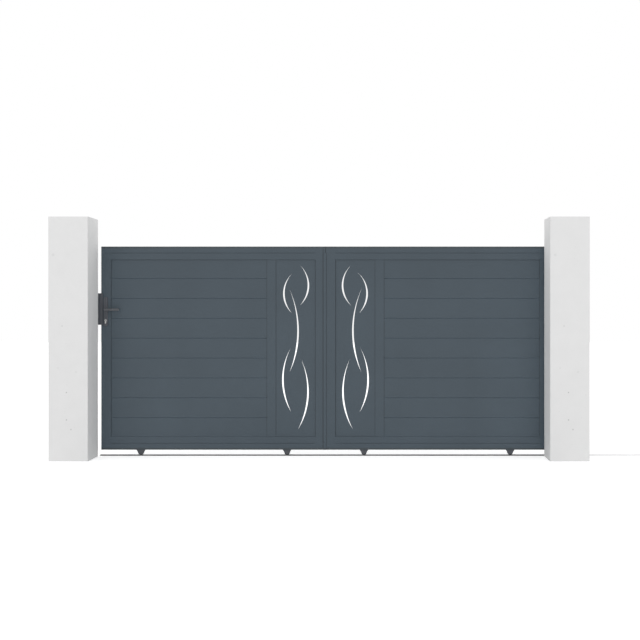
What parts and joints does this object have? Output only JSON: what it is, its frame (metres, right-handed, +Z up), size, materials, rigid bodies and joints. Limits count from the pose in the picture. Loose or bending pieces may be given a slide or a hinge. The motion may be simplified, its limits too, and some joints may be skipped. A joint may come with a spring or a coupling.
{
  "type": "sliding driveway gate",
  "caption": "Sliding driveway gate between two concrete pillars: a powder-coated aluminium leaf with boarded fields and crescent-cut sheets, on flanged wheels and a ground rail.",
  "frame": {"origin": "on the underside of the ground rail's base, on the passage's centre line and in the leaf's middle plane", "axes": "+X along the gate, the way the leaf opens, to the right as seen from the street; +Y away from the street; +Z up"},
  "size_m": [6.978, 0.4123, 1.855],
  "materials": {
    "concrete": "matte",
    "leaf_coat": "satin",
    "fitting_coat": "satin",
    "rail_steel": "matte",
    "wheel_steel": "satin",
    "pin_steel": "satin",
    "cap_plastic": "matte",
    "buffer_rubber": "matte",
    "roller_nylon": "matte",
    "lever_metal": "satin",
    "cylinder_chrome": "satin"
  },
  "bodies": {
    "posts": {"left_pillar": "concrete", "right_pillar": "concrete", "rail_bases": "rail_steel", "rail_bars": "rail_steel", "end_stop": "rail_steel", "stop_buffer": "buffer_rubber", "lock_keeper": "fitting_coat", "guide_bracket": "fitting_coat", "guide_rollers": "roller_nylon", "guide_pins": "pin_steel"},
    "leaf": {"left_outer_stile": "leaf_coat", "left_centre_stile": "leaf_coat", "left_top_tube": "leaf_coat", "left_top_channel": "leaf_coat", "left_bottom_tube": "leaf_coat", "left_bottom_channel": "leaf_coat", "left_muntin": "leaf_coat", "left_cut_sheet": "leaf_coat", "left_boards": "leaf_coat", "right_outer_stile": "leaf_coat", "right_centre_stile": "leaf_coat", "right_top_tube": "leaf_coat", "right_top_channel": "leaf_coat", "right_bottom_tube": "leaf_coat", "right_bottom_channel": "leaf_coat", "right_muntin": "leaf_coat", "right_cut_sheet": "leaf_coat", "right_boards": "leaf_coat", "sheet_beads": "leaf_coat", "infill_seals": "buffer_rubber", "joint_seals": "buffer_rubber", "guide_tail": "leaf_coat", "stile_caps": "cap_plastic", "tail_caps": "cap_plastic", "joint_covers": "leaf_coat", "carrier_cheeks": "fitting_coat", "carrier_plates": "fitting_coat", "escutcheons": "fitting_coat", "lock_cylinder": "cylinder_chrome"},
    "lever": {"lever_front": "lever_metal", "lever_back": "lever_metal", "lever_spindle": "pin_steel"},
    "wheel_1": {"wheel_1": "wheel_steel", "wheel_1_flanges": "wheel_steel"},
    "wheel_2": {"wheel_2": "wheel_steel", "wheel_2_flanges": "wheel_steel"},
    "wheel_3": {"wheel_3": "wheel_steel", "wheel_3_flanges": "wheel_steel"},
    "wheel_4": {"wheel_4": "wheel_steel", "wheel_4_flanges": "wheel_steel"}
  },
  "joints": [
    {"name": "leaf_slide", "type": "slide", "parent": "posts", "child": "leaf", "axis": [1, 0, 0], "range_m": [0, 3.3]},
    {"name": "lever_turn", "type": "hinge", "parent": "leaf", "child": "lever", "pos_m": [-1.697, 0, 1.15], "axis": [0, 1, 0], "range_deg": [0, 40], "stiffness_Nm_per_rad": 1.5, "springref_deg": -34.38},
    {"name": "wheel_1_roll", "type": "hinge", "parent": "leaf", "child": "wheel_1", "pos_m": [-1.424, 0, 0.0268], "axis": [0, 1, 0], "continuous": true},
    {"name": "wheel_2_roll", "type": "hinge", "parent": "leaf", "child": "wheel_2", "pos_m": [-0.271, 0, 0.0268], "axis": [0, 1, 0], "continuous": true},
    {"name": "wheel_3_roll", "type": "hinge", "parent": "leaf", "child": "wheel_3", "pos_m": [0.335, 0, 0.0268], "axis": [0, 1, 0], "continuous": true},
    {"name": "wheel_4_roll", "type": "hinge", "parent": "leaf", "child": "wheel_4", "pos_m": [1.488, 0, 0.0268], "axis": [0, 1, 0], "continuous": true}
  ],
  "couplings": [
    {"joint": "wheel_1_roll", "follows": "leaf_slide", "rad_per_m": 54.054},
    {"joint": "wheel_2_roll", "follows": "leaf_slide", "rad_per_m": 54.054},
    {"joint": "wheel_3_roll", "follows": "leaf_slide", "rad_per_m": 54.054},
    {"joint": "wheel_4_roll", "follows": "leaf_slide", "rad_per_m": 54.054}
  ]
}
